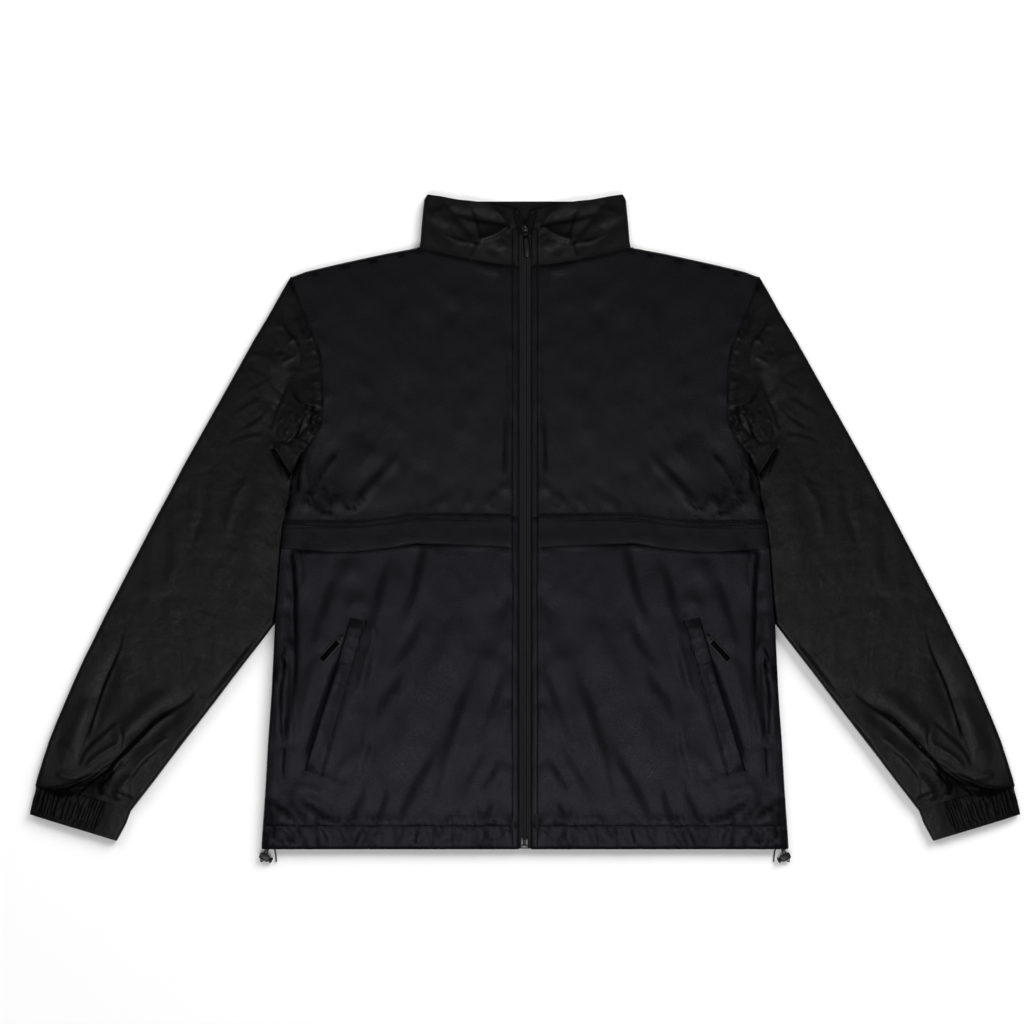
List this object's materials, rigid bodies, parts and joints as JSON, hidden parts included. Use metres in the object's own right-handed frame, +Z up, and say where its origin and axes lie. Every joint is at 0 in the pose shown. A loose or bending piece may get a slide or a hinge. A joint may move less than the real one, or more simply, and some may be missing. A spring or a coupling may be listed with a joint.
{
  "type": "windbreaker jacket",
  "caption": "Black nylon windbreaker laid flat on its back, zip closed: stand collar, chest yoke with storm flaps, slanted zip pockets, gathered cuffs and drawcord hem.",
  "frame": {"origin": "on the surface that the jacket lies on, on its centre line, half way between the collar's top corners and the hem", "axes": "+Z up from the surface, -Y towards the hem, +X towards the sleeve on the right of the front view"},
  "size_m": [1.1252, 0.762, 0.0186],
  "materials": {
    "nylon": "fine plain-weave nylon shell with a soft blotchy sheen",
    "zip_tape": "matt woven zip tape with coil teeth on its far side",
    "metal": "plated zip hardware",
    "plastic": "moulded black plastic",
    "cord": "thin braided elastic cord"
  },
  "bodies": {
    "root": {"back": "nylon", "collar": "nylon", "front_yoke_left": "nylon", "front_yoke_right": "nylon", "front_lower_left": "nylon", "front_lower_right": "nylon", "storm_flap_left": "nylon", "storm_flap_right": "nylon", "sleeve_over_left": "nylon", "sleeve_over_right": "nylon", "sleeve_under_left": "nylon", "sleeve_under_right": "nylon", "cuff_left": "nylon", "cuff_right": "nylon", "pocket_welt_left": "nylon", "pocket_welt_right": "nylon", "pocket_zip_left": "zip_tape", "pocket_zip_right": "zip_tape", "zip_tape_left": "zip_tape", "zip_tape_right": "zip_tape", "zip_slider": "metal", "zip_box": "metal", "zip_stop_left": "metal", "zip_stop_right": "metal", "pocket_slider_left": "metal", "pocket_slider_right": "metal", "drawcord_left": "cord", "drawcord_right": "cord", "cord_lock_left": "plastic", "cord_lock_right": "plastic"},
    "zip_ring": {"zip_ring": "metal"},
    "zip_tab": {"zip_tab": "plastic"},
    "pocket_pull_left": {"pocket_pull_left": "plastic"},
    "pocket_pull_right": {"pocket_pull_right": "plastic"}
  },
  "joints": [
    {"name": "zip_ring_swing", "type": "hinge", "parent": "root", "child": "zip_ring", "pos_m": [0.0004, 0.33591, 0.01404], "axis": [-0.9976, -0.0698, 0], "range_deg": [0, 120]},
    {"name": "zip_tab_swing", "type": "hinge", "parent": "zip_ring", "child": "zip_tab", "pos_m": [0.001, 0.32733, 0.01365], "axis": [-0.9976, -0.0698, 0], "range_deg": [0, 50]},
    {"name": "pocket_pull_swing_left", "type": "hinge", "parent": "root", "child": "pocket_pull_left", "pos_m": [-0.20851, -0.13181, 0.0163], "axis": [-0.7385, 0.6743, 0], "range_deg": [0, 120]},
    {"name": "pocket_pull_swing_right", "type": "hinge", "parent": "root", "child": "pocket_pull_right", "pos_m": [0.20851, -0.13181, 0.0163], "axis": [-0.7385, -0.6743, 0], "range_deg": [0, 120]}
  ]
}
